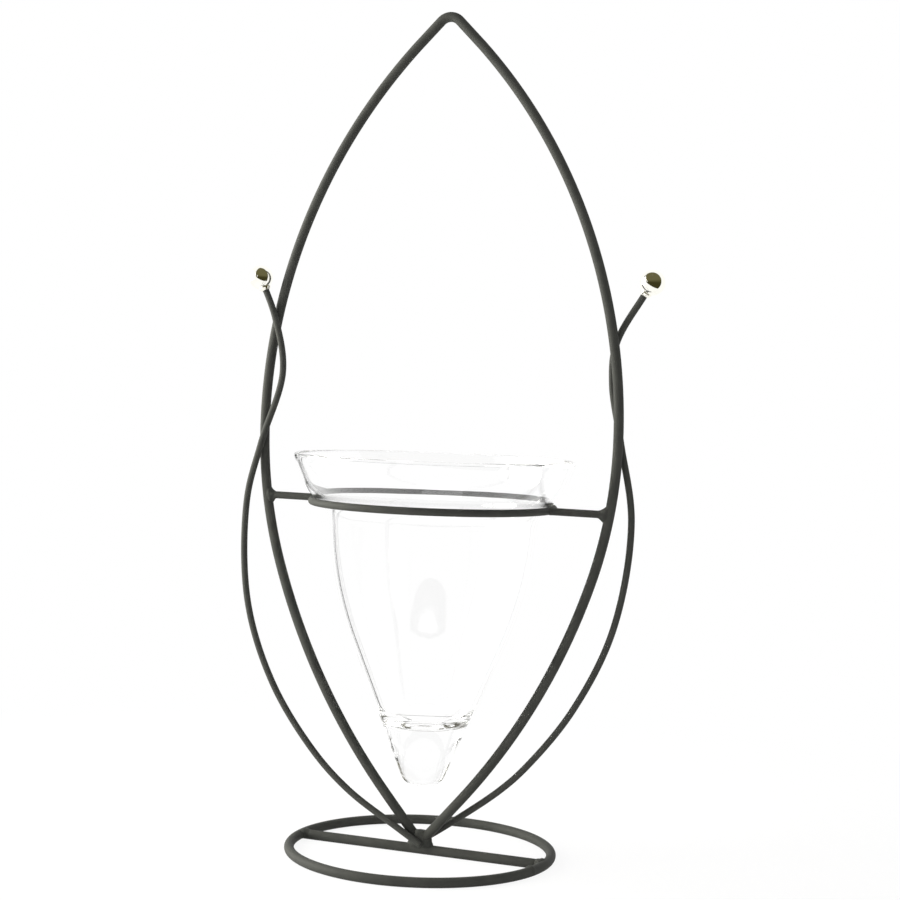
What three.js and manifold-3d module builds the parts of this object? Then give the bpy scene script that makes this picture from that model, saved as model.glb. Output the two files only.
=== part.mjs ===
/**
 * Glass vase in a welded wire stand.
 *
 * Millimetres, +Z up, the ground at z = 0 and the vase's axis on the Z axis. The pointed frame stands in
 * the XZ plane, and -Y is the front. A flat ring with a bar across it is the base. One rod, bent to a
 * pointed oval, stands on the bar and carries a smaller ring on two short arms. Two thinner tendrils rise
 * from the foot and cross the frame, one in front and one behind, each with a polished ball at its tip.
 * The vase hangs by its lip in the smaller ring and lifts out.
 */
import * as THREE from 'three';
import { mergeVertices } from 'three/addons/utils/BufferGeometryUtils.js';
import Module from 'manifold-3d';

const wasm = await Module();
wasm.setup();

// Rods
const BASE_ROD_D = 6.35;
const CROSSBAR_D = 6.35;
const FRAME_ROD_D = 6.35;
const RING_ROD_D = 4.76;
const ARM_D = 4.76;
const TENDRIL_D = 4.3;

// Base ring, measured on its centreline
const BASE_RING_R = 85;

// Pointed frame, measured on its centreline. A leg turns from the vertical in the belly bend, then in a wider
// arc, and ends in a straight. The straights of both legs aim at one point above the crossbar's centreline.
const FRAME_HALF_WIDTH = 122.4;
const FRAME_WIDEST_Z = 274.3;
const FRAME_APEX_Z = 540.6;
const APEX_BEND_R = 9;
const SHOULDER_STRAIGHT = 25.2;
const BELLY_BEND_R = 295.8;
const BELLY_TURN = THREE.MathUtils.degToRad(17.9);
const LEG_STRAIGHT = 40;
const LEGS_MEET_RISE = 3.9;

// Ring that holds the vase, measured on its centreline
const VASE_RING_R = 78.1;
const VASE_RING_Z = 227.6;

// Tendrils: height above the ground and outset from the frame's centreline at each bend, from the foot up.
// An outset of 0 is a crossing, and the last bend is the ball's centre. The foot ends a little past the
// vase's axis.
const TENDRIL_FOOT_PAST = 2;
const TENDRIL_FOOT_Z = 7.3;
const LEFT_BENDS = [
  [17, 6.7], [36.8, 23.6], [60, 31.5], [103, 35.3], [156, 30], [223, 13.4],
  [262, 0], [310, -12.7], [346, 0], [371.7, 17.6],
];
const RIGHT_BENDS = [
  [18.6, 4.8], [46, 17.9], [64, 22.2], [102, 26], [155, 24.5], [223, 13.5],
  [273, 0], [310, -5.2], [335, 0], [373, 30.3],
];

// Balls and the collars under them
const BALL_D = 16;
const TIP_INSERT = 5;
const COLLAR_D = 8;
const COLLAR_LENGTH = 2.5;

// Glass: plays and reaches are measured from the ring that holds it
const NECK_PLAY = 9;
const LIP_OVERHANG = 4.2;
const RIM_FLARE = 8.2;
const RIM_RISE = 28.7;
const LIP_BEND_R = 7;
const GLASS_WALL = 3;
const VASE_FOOT_Z = 45.8;
const VASE_FOOT_R = 12;
const FOOT_BEND_R = 6;
const CONE_LENGTH = 100;
const SOLID_FOOT = 38.5;
const FLOOR_BEND = 15;

// Weld beads: how far they stand proud of the rods, run along them and sit above their centrelines
const BEAD_SKIN = 1.2;
const BEAD_RUN = 3.6;
const BEAD_LIFT = 1;
const SEAM_ANGLE = THREE.MathUtils.degToRad(-14);

// Pieces that touch keep this gap
const SEAT_GAP = 0.3;

// Halvings that settle a bend's angle
const BISECTIONS = 50;

// Facet counts
const THICK_SIDES = 12;
const THIN_SIDES = 10;
const RING_STEPS = 56;
const GLASS_STEPS = 48;
const GLASS_BEND_STEPS = 4;
const BEND_STEP = THREE.MathUtils.degToRad(3);
const TENDRIL_STEPS = 42;
const TURNED_STEPS = 16;
const BEAD_STEPS = [14, 9];

// Finishes, one per kind of material
const FINISHES = {
  black_wire: { color: 0x3a3b36, roughness: 0.48, metalness: 0.25 },
  polished_ball: { color: 0xe9e3c8, roughness: 0.08, metalness: 1 },
  clear_glass: { color: 0xf4f8f6, roughness: 0.02, metalness: 0, transparent: true, opacity: 0.25 },
};

function namedMesh(name, geometry, finish) {
  const mesh = new THREE.Mesh(geometry, new THREE.MeshStandardMaterial(FINISHES[finish]));
  mesh.name = name;
  return mesh;
}

// Solids

/** A closed geometry as a solid that can be cut. */
function toSolid(geometry) {
  const bare = geometry.clone();
  bare.deleteAttribute('normal');
  bare.deleteAttribute('uv');
  const merged = mergeVertices(bare);
  const vertProperties = Float32Array.from(merged.getAttribute('position').array);
  const triVerts = Uint32Array.from(merged.index.array);
  return new wasm.Manifold(new wasm.Mesh({ numProp: 3, vertProperties, triVerts }));
}

function toGeometry(solid) {
  const { vertProperties, triVerts } = solid.getMesh();
  const geometry = new THREE.BufferGeometry();
  geometry.setAttribute('position', new THREE.BufferAttribute(vertProperties, 3));
  geometry.setIndex(new THREE.BufferAttribute(triVerts, 1));
  geometry.computeVertexNormals();
  return geometry;
}

/** The geometry less every cutter. */
function cut(geometry, cutters) {
  return toGeometry(cutters.reduce((solid, cutter) => solid.subtract(toSolid(cutter)), toSolid(geometry)));
}

// Rods

/** Corners of a rod's section: flats face along both axes, and the flats touch the round rod. */
function rodSection(diameter, sides) {
  const corner = diameter / 2 / Math.cos(Math.PI / sides);
  return Array.from({ length: sides }, (_, i) => {
    const angle = (2 * Math.PI * (i + 0.5)) / sides;
    return new THREE.Vector2(corner * Math.cos(angle), corner * Math.sin(angle));
  });
}

/** A centreline through stations, each with its section square to the mean direction there. */
class RodLine extends THREE.Curve {
  constructor(stations) {
    super();
    this.stations = stations;
  }

  getPointAt(u) {
    return this.stations[Math.round(u * (this.stations.length - 1))].clone();
  }

  getTangentAt(u) {
    const last = this.stations.length - 1;
    const i = Math.round(u * last);
    const after = this.stations[Math.min(i + 1, last)];
    const before = this.stations[Math.max(i - 1, 0)];
    return after.clone().sub(before).normalize();
  }
}

/** A rod through stations, grown by a skin all round and at both ends. */
function bentRod(stations, diameter, sides, skin) {
  const section = new THREE.Shape(rodSection(diameter + 2 * skin, sides));
  const line = stations.map((station) => station.clone());
  const last = line.length - 1;
  for (const [end, next] of [[0, 1], [last, last - 1]]) {
    const outwards = stations[end].clone().sub(stations[next]).normalize();
    line[end].addScaledVector(outwards, skin);
  }
  return new THREE.ExtrudeGeometry(section, { steps: last, extrudePath: new RodLine(line) });
}

/** A straight rod along X. */
function straightRod(fromX, toX, z, diameter) {
  const section = new THREE.Shape(rodSection(diameter, THICK_SIDES));
  const rod = new THREE.ExtrudeGeometry(section, { depth: toX - fromX, bevelEnabled: false });
  return rod.rotateY(Math.PI / 2).translate(fromX, 0, z);
}

/** A profile of radius and height, turned round the Z axis. */
function turned(profile, steps) {
  return new THREE.LatheGeometry(profile, steps).rotateX(Math.PI / 2);
}

function roundRing(radius, z, diameter) {
  const section = rodSection(diameter, THICK_SIDES).map((corner) => corner.add(new THREE.Vector2(radius, z)));
  return turned([...section, section[0].clone()], RING_STEPS);
}

// Curves

/**
 * Angle and radius of an arc that starts `start` off the vertical and runs on into a straight, so that the
 * two together go `across` sideways and `along(angle)` vertically.
 */
function arcIntoStraight(across, along, straight, start) {
  const arcRise = (angle) => along(angle) - straight * Math.cos(angle);
  let low = start;
  let high = Math.PI / 2;
  for (let i = 0; i < BISECTIONS; i += 1) {
    const angle = (low + high) / 2;
    const reach = arcRise(angle) * Math.tan((start + angle) / 2) + straight * Math.sin(angle);
    if (reach < across) low = angle;
    else high = angle;
  }
  return { angle: low, radius: arcRise(low) / (Math.sin(low) - Math.sin(start)) };
}

const baseZ = BASE_ROD_D / 2;
const crossbarZ = CROSSBAR_D / 2;

// The legs leave the belly bend where it ends, and the shoulders aim at a point above the apex bend.
const legsMeetZ = crossbarZ + LEGS_MEET_RISE;
const bellyX = FRAME_HALF_WIDTH - BELLY_BEND_R * (1 - Math.cos(BELLY_TURN));
const bellyZ = FRAME_WIDEST_Z - BELLY_BEND_R * Math.sin(BELLY_TURN);
const leg = arcIntoStraight(bellyX, () => bellyZ - legsMeetZ, LEG_STRAIGHT, BELLY_TURN);
const peakAt = (angle) => FRAME_APEX_Z + APEX_BEND_R * (1 / Math.sin(angle) - 1);
const crownAt = (angle) => peakAt(angle) - FRAME_WIDEST_Z;
const shoulder = arcIntoStraight(FRAME_HALF_WIDTH, crownAt, SHOULDER_STRAIGHT, 0);

// Arcs of the frame's right half, from the foot up, each with its centre, its radius and its turns off the
// vertical at both ends. A turn is above 0 where the rod runs outwards as it rises.
const frameArcs = [
  {
    centreX: bellyX - leg.radius * Math.cos(BELLY_TURN),
    centreZ: bellyZ + leg.radius * Math.sin(BELLY_TURN),
    radius: leg.radius,
    from: leg.angle,
    to: BELLY_TURN,
  },
  {
    centreX: FRAME_HALF_WIDTH - BELLY_BEND_R,
    centreZ: FRAME_WIDEST_Z,
    radius: BELLY_BEND_R,
    from: BELLY_TURN,
    to: 0,
  },
  {
    centreX: FRAME_HALF_WIDTH - shoulder.radius,
    centreZ: FRAME_WIDEST_Z,
    radius: shoulder.radius,
    from: 0,
    to: -shoulder.angle,
  },
  {
    centreX: 0,
    centreZ: FRAME_APEX_Z - APEX_BEND_R,
    radius: APEX_BEND_R,
    from: -shoulder.angle,
    to: -Math.PI / 2,
  },
];

/** Distance of the frame's centreline from the vase's axis at a height. */
function frameReach(z) {
  for (const { centreX, centreZ, radius, from, to } of frameArcs) {
    const turn = Math.asin((centreZ - z) / radius);
    if (turn <= from && turn >= to) return centreX + radius * Math.cos(turn);
  }
  if (z < FRAME_WIDEST_Z) return (z - legsMeetZ) * Math.tan(leg.angle);
  return (peakAt(shoulder.angle) - z) * Math.tan(shoulder.angle);
}

/** Stations of the right half of the frame, from its foot to the apex. */
function frameHalf() {
  const cornerR = FRAME_ROD_D / 2 / Math.cos(Math.PI / THICK_SIDES);
  const footX = cornerR * Math.cos(leg.angle) + SEAT_GAP / 2;
  const stations = [new THREE.Vector3(footX, 0, legsMeetZ + footX / Math.tan(leg.angle))];
  for (const { centreX, centreZ, radius, from, to } of frameArcs) {
    const steps = Math.ceil((from - to) / BEND_STEP);
    for (let i = 0; i < steps; i += 1) {
      const turn = from + ((to - from) * i) / steps;
      const x = centreX + radius * Math.cos(turn);
      stations.push(new THREE.Vector3(x, 0, centreZ - radius * Math.sin(turn)));
    }
  }
  stations.push(new THREE.Vector3(0, 0, FRAME_APEX_Z));
  return stations;
}

// Stand

const mirrored = (point) => new THREE.Vector3(-point.x, point.y, point.z);

function frameRod(grow) {
  const right = frameHalf();
  const left = right.slice(0, -1).map(mirrored);
  return bentRod([...left, ...right.reverse()], FRAME_ROD_D, THICK_SIDES, grow);
}

/** The straight end of both legs, as two rods. */
function legEnds(grow) {
  const right = frameHalf().slice(0, 2);
  return [right, right.map(mirrored)].map((stations) => bentRod(stations, FRAME_ROD_D, THICK_SIDES, grow));
}

const baseRing = (grow) => roundRing(BASE_RING_R, baseZ, BASE_ROD_D + 2 * grow);
const vaseRing = (grow) => roundRing(VASE_RING_R, VASE_RING_Z, RING_ROD_D + 2 * grow);
const crossbar = (grow) => straightRod(-BASE_RING_R, BASE_RING_R, crossbarZ, CROSSBAR_D + 2 * grow);

/** An arm on the right (side 1) or left (side -1), from the vase ring's centreline to the frame's. */
function arm(side, grow) {
  const reach = frameReach(VASE_RING_Z);
  const ends = [side * VASE_RING_R, side * reach].sort((a, b) => a - b);
  return straightRod(...ends, VASE_RING_Z, ARM_D + 2 * grow);
}

/** A tendril's stations from its foot to its tip, and the ball's centre that its last straight aims at. */
function tendrilLine(side, bends) {
  const clear = Math.max(FRAME_ROD_D, CROSSBAR_D) / 2 + TENDRIL_D / 2 + SEAT_GAP;
  const pointAt = (x, z) => new THREE.Vector3(side * x, side * clear, z);
  const points = bends.map(([z, outset]) => pointAt(frameReach(z) + outset, z));
  const curve = new THREE.CatmullRomCurve3([pointAt(-TENDRIL_FOOT_PAST, TENDRIL_FOOT_Z), ...points]);
  const bent = 1 - (BALL_D / 2 + COLLAR_LENGTH + TENDRIL_D) / curve.getLength();
  const shares = Array.from({ length: TENDRIL_STEPS }, (_, i) => i / (TENDRIL_STEPS - 1));
  const stations = shares.map((share) => curve.getPointAt(bent * share));
  const centre = points[points.length - 1];
  const aim = centre.clone().sub(stations[stations.length - 1]).normalize();
  stations.push(centre.clone().addScaledVector(aim, TIP_INSERT - BALL_D / 2));
  return { stations, centre, aim };
}

const tendril = (line, grow) => bentRod(line.stations, TENDRIL_D, THIN_SIDES, grow);

/** A ball with a flat for its collar and a blind hole for the wire, centred, with the hole downwards. */
function ball() {
  const radius = BALL_D / 2;
  const holeR = TENDRIL_D / 2 + SEAT_GAP;
  const flatZ = -Math.sqrt(radius ** 2 - (COLLAR_D / 2) ** 2);
  const floorZ = TIP_INSERT - radius + SEAT_GAP;
  const outline = new THREE.Path()
    .moveTo(0, floorZ)
    .lineTo(holeR, floorZ)
    .lineTo(holeR, flatZ)
    .lineTo(COLLAR_D / 2, flatZ)
    .absarc(0, 0, radius, Math.atan2(flatZ, COLLAR_D / 2), Math.PI / 2, false);
  return turned(outline.getPoints(TURNED_STEPS / 2), TURNED_STEPS);
}

/** A collar round the wire, just under a ball that is centred at the origin. */
function collar() {
  const top = -Math.sqrt((BALL_D / 2) ** 2 - (COLLAR_D / 2) ** 2) - SEAT_GAP;
  const inner = TENDRIL_D / 2 + SEAT_GAP;
  const outer = COLLAR_D / 2;
  const corners = [
    [inner, top - COLLAR_LENGTH], [outer, top - COLLAR_LENGTH], [outer, top], [inner, top],
    [inner, top - COLLAR_LENGTH],
  ];
  return turned(corners.map(([r, z]) => new THREE.Vector2(r, z)), TURNED_STEPS);
}

/** The ball and collar of one tendril, set on its tip. */
function finial(name, line) {
  const group = new THREE.Group();
  group.add(namedMesh(`finial_ball_${name}`, ball(), 'polished_ball'));
  group.add(namedMesh(`finial_collar_${name}`, collar(), 'polished_ball'));
  group.position.copy(line.centre);
  group.quaternion.setFromUnitVectors(new THREE.Vector3(0, 0, 1), line.aim);
  return group;
}

/** A weld bead: a rounded lump with the rods it joins cut out of it. */
function bead([x, y, z], [halfX, halfY, halfZ], cutters) {
  const lump = new THREE.SphereGeometry(1, ...BEAD_STEPS).scale(halfX, halfY, halfZ).translate(x, y, z);
  return cut(lump, cutters);
}

function footBead(leftTendril, rightTendril) {
  const half = [FRAME_ROD_D + 2 * BEAD_SKIN, FRAME_ROD_D / 2 + BEAD_SKIN, FRAME_ROD_D / 2 + BEAD_RUN];
  const tendrils = [leftTendril, rightTendril].map((line) => tendril(line, SEAT_GAP));
  return bead([0, 0, legsMeetZ + BEAD_SKIN], half, [...legEnds(SEAT_GAP), crossbar(SEAT_GAP), ...tendrils]);
}

function armBead(side) {
  const x = side * (frameReach(VASE_RING_Z) - FRAME_ROD_D / 2 - BEAD_SKIN);
  const half = [FRAME_ROD_D / 2 + BEAD_RUN - SEAT_GAP, FRAME_ROD_D / 2 + BEAD_SKIN, ARM_D / 2 + BEAD_RUN];
  return bead([x, 0, VASE_RING_Z], half, [frameRod(SEAT_GAP), arm(side, SEAT_GAP)]);
}

function ringBead(side) {
  const x = side * (VASE_RING_R + RING_ROD_D / 2);
  const tall = Math.max(ARM_D, RING_ROD_D) / 2;
  const half = [RING_ROD_D / 2 + BEAD_SKIN, ARM_D / 2 + BEAD_RUN / 2, tall + BEAD_SKIN];
  return bead([x, 0, VASE_RING_Z], half, [vaseRing(SEAT_GAP), arm(side, SEAT_GAP)]);
}

function baseBead(side) {
  const x = side * (BASE_RING_R - BASE_ROD_D / 2);
  const tall = Math.max(baseZ, crossbarZ);
  const half = [BASE_ROD_D / 2 + BEAD_SKIN, CROSSBAR_D / 2 + BEAD_RUN, tall + BEAD_SKIN - BEAD_LIFT];
  return bead([x, 0, tall + BEAD_LIFT], half, [baseRing(SEAT_GAP), crossbar(SEAT_GAP)]);
}

/** The bead over the base ring's closing seam. */
function seamBead() {
  const half = [BASE_ROD_D / 2 + BEAD_SKIN, BEAD_RUN, baseZ + BEAD_SKIN - BEAD_LIFT];
  const lump = new THREE.SphereGeometry(1, ...BEAD_STEPS).scale(...half);
  lump.translate(BASE_RING_R, 0, baseZ + BEAD_LIFT).rotateZ(SEAM_ANGLE);
  return cut(lump, [baseRing(SEAT_GAP)]);
}

// Vase

/** Direction square to a polyline at a point, to its left. */
function inward(points, i) {
  const after = points[Math.min(i + 1, points.length - 1)];
  const before = points[Math.max(i - 1, 0)];
  return new THREE.Vector2(before.y - after.y, after.x - before.x).normalize();
}

/**
 * Outline of the glass from the foot's centre up the outside to the rim, with z = 0 at the ring's height, and
 * the direction of its cone.
 */
function glassOutside() {
  const footZ = VASE_FOOT_Z - VASE_RING_Z;
  const neckR = VASE_RING_R - RING_ROD_D / 2 - NECK_PLAY;
  const lipR = VASE_RING_R + LIP_OVERHANG;
  const seatLine = VASE_RING_R - Math.SQRT2 * (RING_ROD_D / 2 + SEAT_GAP);
  const neckZ = neckR - seatLine;
  const lipZ = lipR - seatLine;
  const body = arcIntoStraight(neckR - VASE_FOOT_R, () => -footZ, CONE_LENGTH, 0);
  const coneDir = new THREE.Vector2(Math.sin(body.angle), Math.cos(body.angle));
  const neckAngle = Math.asin((neckZ - LIP_BEND_R) / body.radius);
  const seatDir = new THREE.Vector2(1, 1).normalize();
  const lipDir = new THREE.Vector2(RIM_FLARE, RIM_RISE - lipZ).normalize();
  const foot = new THREE.Vector2(VASE_FOOT_R, footZ);
  const neck = new THREE.Vector2(neckR, neckZ);
  const lip = new THREE.Vector2(lipR, lipZ);
  const along = (from, direction, run) => from.clone().addScaledVector(direction, run).toArray();
  const outline = new THREE.Path()
    .moveTo(0, footZ)
    .lineTo(VASE_FOOT_R - FOOT_BEND_R, footZ)
    .quadraticCurveTo(foot.x, foot.y, ...along(foot, coneDir, FOOT_BEND_R))
    .lineTo(...along(foot, coneDir, CONE_LENGTH))
    .absarc(neckR - body.radius, 0, body.radius, -body.angle, neckAngle, false)
    .quadraticCurveTo(neck.x, neck.y, ...along(neck, seatDir, LIP_BEND_R))
    .lineTo(...along(lip, seatDir, -LIP_BEND_R))
    .quadraticCurveTo(lip.x, lip.y, ...along(lip, lipDir, LIP_BEND_R))
    .lineTo(lipR + RIM_FLARE, RIM_RISE);
  return { outside: outline.getPoints(GLASS_BEND_STEPS), coneDir };
}

/** The glass: a drop-shaped cup with a thick solid foot, an even wall and a rounded rim. */
function glassVase() {
  const { outside, coneDir } = glassOutside();
  const floorZ = VASE_FOOT_Z - VASE_RING_Z + SOLID_FOOT;
  const inside = outside
    .map((point, i) => point.clone().addScaledVector(inward(outside, i), GLASS_WALL))
    .filter((point) => point.y > floorZ + FLOOR_BEND)
    .reverse();
  const wallEnd = inside[inside.length - 1];
  const corner = wallEnd.clone().addScaledVector(coneDir, (floorZ - wallEnd.y) / coneDir.y);
  const floorStart = corner.clone().addScaledVector(coneDir, FLOOR_BEND);
  const floorEdge = new THREE.Vector2(corner.x - FLOOR_BEND, floorZ);
  const floor = new THREE.QuadraticBezierCurve(floorStart, corner, floorEdge);
  const rimOut = outside[outside.length - 1];
  const rimTop = rimOut.clone().add(inside[0]).multiplyScalar(0.5);
  rimTop.y += GLASS_WALL / 2;
  const rim = new THREE.QuadraticBezierCurve(rimOut, new THREE.Vector2(rimOut.x, rimTop.y), rimTop);
  const rimIn = new THREE.QuadraticBezierCurve(rimTop, new THREE.Vector2(inside[0].x, rimTop.y), inside[0]);
  const profile = [
    ...outside.slice(0, -1),
    ...rim.getPoints(GLASS_BEND_STEPS).slice(0, -1),
    ...rimIn.getPoints(GLASS_BEND_STEPS),
    ...inside.slice(1),
    ...floor.getPoints(GLASS_BEND_STEPS),
    new THREE.Vector2(0, floorZ),
  ];
  return turned(profile, GLASS_STEPS);
}

// Assembly

const leftTendril = tendrilLine(-1, LEFT_BENDS);
const rightTendril = tendrilLine(1, RIGHT_BENDS);

const stand = new THREE.Group();
const wirePieces = {
  base_ring: baseRing(0),
  base_crossbar: cut(crossbar(0), [baseRing(SEAT_GAP)]),
  frame_rod: cut(frameRod(0), [crossbar(SEAT_GAP)]),
  vase_ring: vaseRing(0),
  ring_arm_left: cut(arm(-1, 0), [vaseRing(SEAT_GAP), frameRod(SEAT_GAP)]),
  ring_arm_right: cut(arm(1, 0), [vaseRing(SEAT_GAP), frameRod(SEAT_GAP)]),
  tendril_left: tendril(leftTendril, 0),
  tendril_right: tendril(rightTendril, 0),
  weld_foot: footBead(leftTendril, rightTendril),
  weld_arm_left: armBead(-1),
  weld_arm_right: armBead(1),
  weld_ring_left: ringBead(-1),
  weld_ring_right: ringBead(1),
  weld_base_left: baseBead(-1),
  weld_base_right: baseBead(1),
  weld_base_seam: seamBead(),
};
for (const [name, geometry] of Object.entries(wirePieces)) stand.add(namedMesh(name, geometry, 'black_wire'));
stand.add(finial('left', leftTendril), finial('right', rightTendril));

const vase = namedMesh('glass_vase', glassVase(), 'clear_glass');
vase.position.z = VASE_RING_Z;

const vaseWithStand = new THREE.Group();
vaseWithStand.add(stand, vase);

export default vaseWithStand;
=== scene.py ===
"""Dresses a glass vase in its wire stand: smooth rods, weld beads, polished balls and blown glass.

Metres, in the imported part's own frame: +Z up, the ground at z = 0, the vase's axis on the Z axis, the
pointed frame in the XZ plane and -Y towards the front.
"""
import logging
import math
from abc import ABC, abstractmethod
from collections.abc import Callable, Mapping, Sequence
from dataclasses import dataclass, field
from enum import Enum
from functools import cache
from itertools import pairwise
from typing import ClassVar

import bmesh
import bpy
from bmesh.types import BMEdge, BMesh, BMVert
from bpy.types import Material, Node, NodeOutputs, NodeSocket, NodeTree, Object
from mathutils import Matrix, Vector, noise


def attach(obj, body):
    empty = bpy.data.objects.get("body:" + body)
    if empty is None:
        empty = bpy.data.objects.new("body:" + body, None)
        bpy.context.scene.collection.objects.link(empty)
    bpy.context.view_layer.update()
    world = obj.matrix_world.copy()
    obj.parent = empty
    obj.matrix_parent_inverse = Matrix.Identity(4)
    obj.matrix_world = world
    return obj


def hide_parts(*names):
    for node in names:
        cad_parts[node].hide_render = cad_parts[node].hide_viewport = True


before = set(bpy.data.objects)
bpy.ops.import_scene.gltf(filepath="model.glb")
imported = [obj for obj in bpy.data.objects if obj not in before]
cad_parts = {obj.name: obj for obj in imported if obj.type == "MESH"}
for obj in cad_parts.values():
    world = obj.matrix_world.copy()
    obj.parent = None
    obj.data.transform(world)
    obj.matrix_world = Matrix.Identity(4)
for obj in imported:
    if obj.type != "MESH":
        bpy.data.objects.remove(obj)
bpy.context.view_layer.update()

LOG = logging.getLogger("vase_stand")
MM = 0.001
FULL_TURN = 2 * math.pi
UP = Vector((0, 0, 1))
MERGE_DISTANCE = 0.002 * MM
THICK_ROD_R = 3.175 * MM
ROD_SIDES = 28
RING_STEPS = 224
HALVINGS = 50

Triple = tuple[float, float, float]
Rgb = Triple
Pair = tuple[float, float]
Inputs = Mapping[str | int, object]


class Body(Enum):
    """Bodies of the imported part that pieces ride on."""

    STAND = "stand"
    VASE = "vase"


class Slot(Enum):
    """Material slots of the record."""

    WIRE = "black_wire"
    BALL = "polished_ball"
    GLASS = "clear_glass"


class Side(Enum):
    """Sides of the stand, as the sign of X."""

    LEFT = -1
    RIGHT = 1

    @property
    def word(self) -> str:
        """The side's name in the nodes' names."""
        return self.name.lower()


# Nodes


def fill_inputs(tree: NodeTree, node: Node, inputs: Inputs) -> None:
    """Sets or links inputs of a node.

    Args:
        tree: Tree that holds the node.
        node: Node to fill.
        inputs: Values, or sockets that give them, by the input's name or number.
    """
    for label, value in inputs.items():
        if isinstance(value, NodeSocket):
            tree.links.new(value, node.inputs[label])
        else:
            node.inputs[label].default_value = value


def add_node(tree: NodeTree, kind: str, inputs: Inputs | None = None, **settings: object) -> NodeOutputs:
    """Adds a shader node.

    Args:
        tree: Tree that gets the node.
        kind: Kind of the node, as Blender names it after ShaderNode.
        inputs: Values, or sockets that give them, by the input's name or number.
        settings: Settings of the node itself. They come first, because its sockets depend on them.

    Returns:
        The node's outputs.
    """
    node = tree.nodes.new(f"ShaderNode{kind}")
    for label, choice in settings.items():
        setattr(node, label, choice)
    fill_inputs(tree, node, inputs or {})
    return node.outputs


def opaque(colour: Rgb) -> tuple[float, ...]:
    """A colour with full alpha."""
    return (*colour, 1)


def object_place(tree: NodeTree) -> NodeSocket:
    """Adds the piece's own Object coordinates."""
    return add_node(tree, "TexCoord")["Object"]


def object_noise(tree: NodeTree, scale: NodeSocket, detail: float, distortion: float = 0.0) -> NodeSocket:
    """Adds a noise on the piece's own Object coordinates."""
    inputs = {"Vector": object_place(tree), "Scale": scale, "Detail": detail, "Distortion": distortion}
    return add_node(tree, "TexNoise", inputs)["Fac"]


def mapped(
    tree: NodeTree, source: NodeSocket, span: Pair, ends: tuple[NodeSocket | float, ...] = (0.0, 1.0),
) -> NodeSocket:
    """Adds a smooth range between two ends, or sockets that give them, over a span of a value."""
    inputs = dict(enumerate((source, *span, *ends)))
    return add_node(tree, "MapRange", inputs, interpolation_type="SMOOTHSTEP")["Result"]


def calculated(tree: NodeTree, operation: str, *values: NodeSocket | float) -> NodeSocket:
    """Adds a node that works out a number from numbers, or from sockets that give them."""
    return add_node(tree, "Math", dict(enumerate(values)), operation=operation)["Value"]


def mixed(tree: NodeTree, share: NodeSocket, first: object, second: object) -> NodeSocket:
    """Adds a mix of two colours, or of sockets that give them."""
    return add_node(tree, "Mix", {"Factor": share, "A": first, "B": second}, data_type="RGBA")["Result"]


def bumped(tree: NodeTree, height: NodeSocket, depth: float) -> NodeSocket:
    """Adds a bump with a depth in metres, from a height of 0 to 1."""
    return add_node(tree, "Bump", {"Strength": 1.0, "Distance": depth, "Height": height})["Normal"]


def show_blend(tree: NodeTree, share: NodeSocket, first: NodeSocket, second: NodeSocket) -> None:
    """Makes a material show two shaders, with a share of the second."""
    blend = add_node(tree, "MixShader", {"Fac": share, 1: first, 2: second})["Shader"]
    fill_inputs(tree, tree.nodes["Material Output"], {"Surface": blend})


def new_material(name: str) -> tuple[Material, NodeTree]:
    """Makes a material that holds one shader.

    Args:
        name: Name of the material.

    Returns:
        The material and its tree.
    """
    material = bpy.data.materials.new(name)
    material.use_nodes = True
    return material, material.node_tree


# Node groups


class SharedGroup(ABC):
    """A shader group that finishes share, with the kinds of its sockets by name.

    Every group puts out Roughness and Height, and what else its finishes need.
    """

    NAME: ClassVar[str]
    INPUTS: ClassVar[dict[str, str]]
    OUTPUTS: ClassVar[dict[str, str]]

    @classmethod
    @cache
    def group(cls) -> NodeTree:
        """Builds the group, once.

        Returns:
            The group.
        """
        tree = bpy.data.node_groups.new(cls.NAME, "ShaderNodeTree")
        for in_out, sockets in (("INPUT", cls.INPUTS), ("OUTPUT", cls.OUTPUTS)):
            for label, kind in sockets.items():
                tree.interface.new_socket(label, in_out=in_out, socket_type=f"NodeSocket{kind}")
        given = tree.nodes.new("NodeGroupInput").outputs
        fill_inputs(tree, tree.nodes.new("NodeGroupOutput"), cls.results(tree, given))
        return tree

    @classmethod
    @abstractmethod
    def results(cls, tree: NodeTree, given: NodeOutputs) -> Inputs:
        """Adds the group's nodes, and gives the sockets for its outputs by name."""


class CoatGrain(SharedGroup):
    """Group for a sprayed coat: drifting colour and gloss, and a fine orange peel."""

    NAME = "coat_grain"
    INPUTS = {
        "Deep": "Color", "Worn": "Color", "Smooth": "Float", "Rough": "Float",
        "Patch Scale": "Float", "Peel Scale": "Float",
    }
    OUTPUTS = {"Colour": "Color", "Roughness": "Float", "Height": "Float"}

    @classmethod
    def results(cls, tree: NodeTree, given: NodeOutputs) -> Inputs:
        """Adds the coat's patches and peel.

        Args:
            tree: The group's tree.
            given: The group's inputs.

        Returns:
            Colour, Roughness and Height.
        """
        patches = object_noise(tree, given["Patch Scale"], detail=4.0, distortion=0.4)
        drift = mapped(tree, patches, (0.34, 0.7))
        return {
            "Colour": mixed(tree, drift, given["Deep"], given["Worn"]),
            "Roughness": mapped(tree, patches, (0.3, 0.7), (given["Smooth"], given["Rough"])),
            "Height": object_noise(tree, given["Peel Scale"], detail=2.0),
        }


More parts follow.
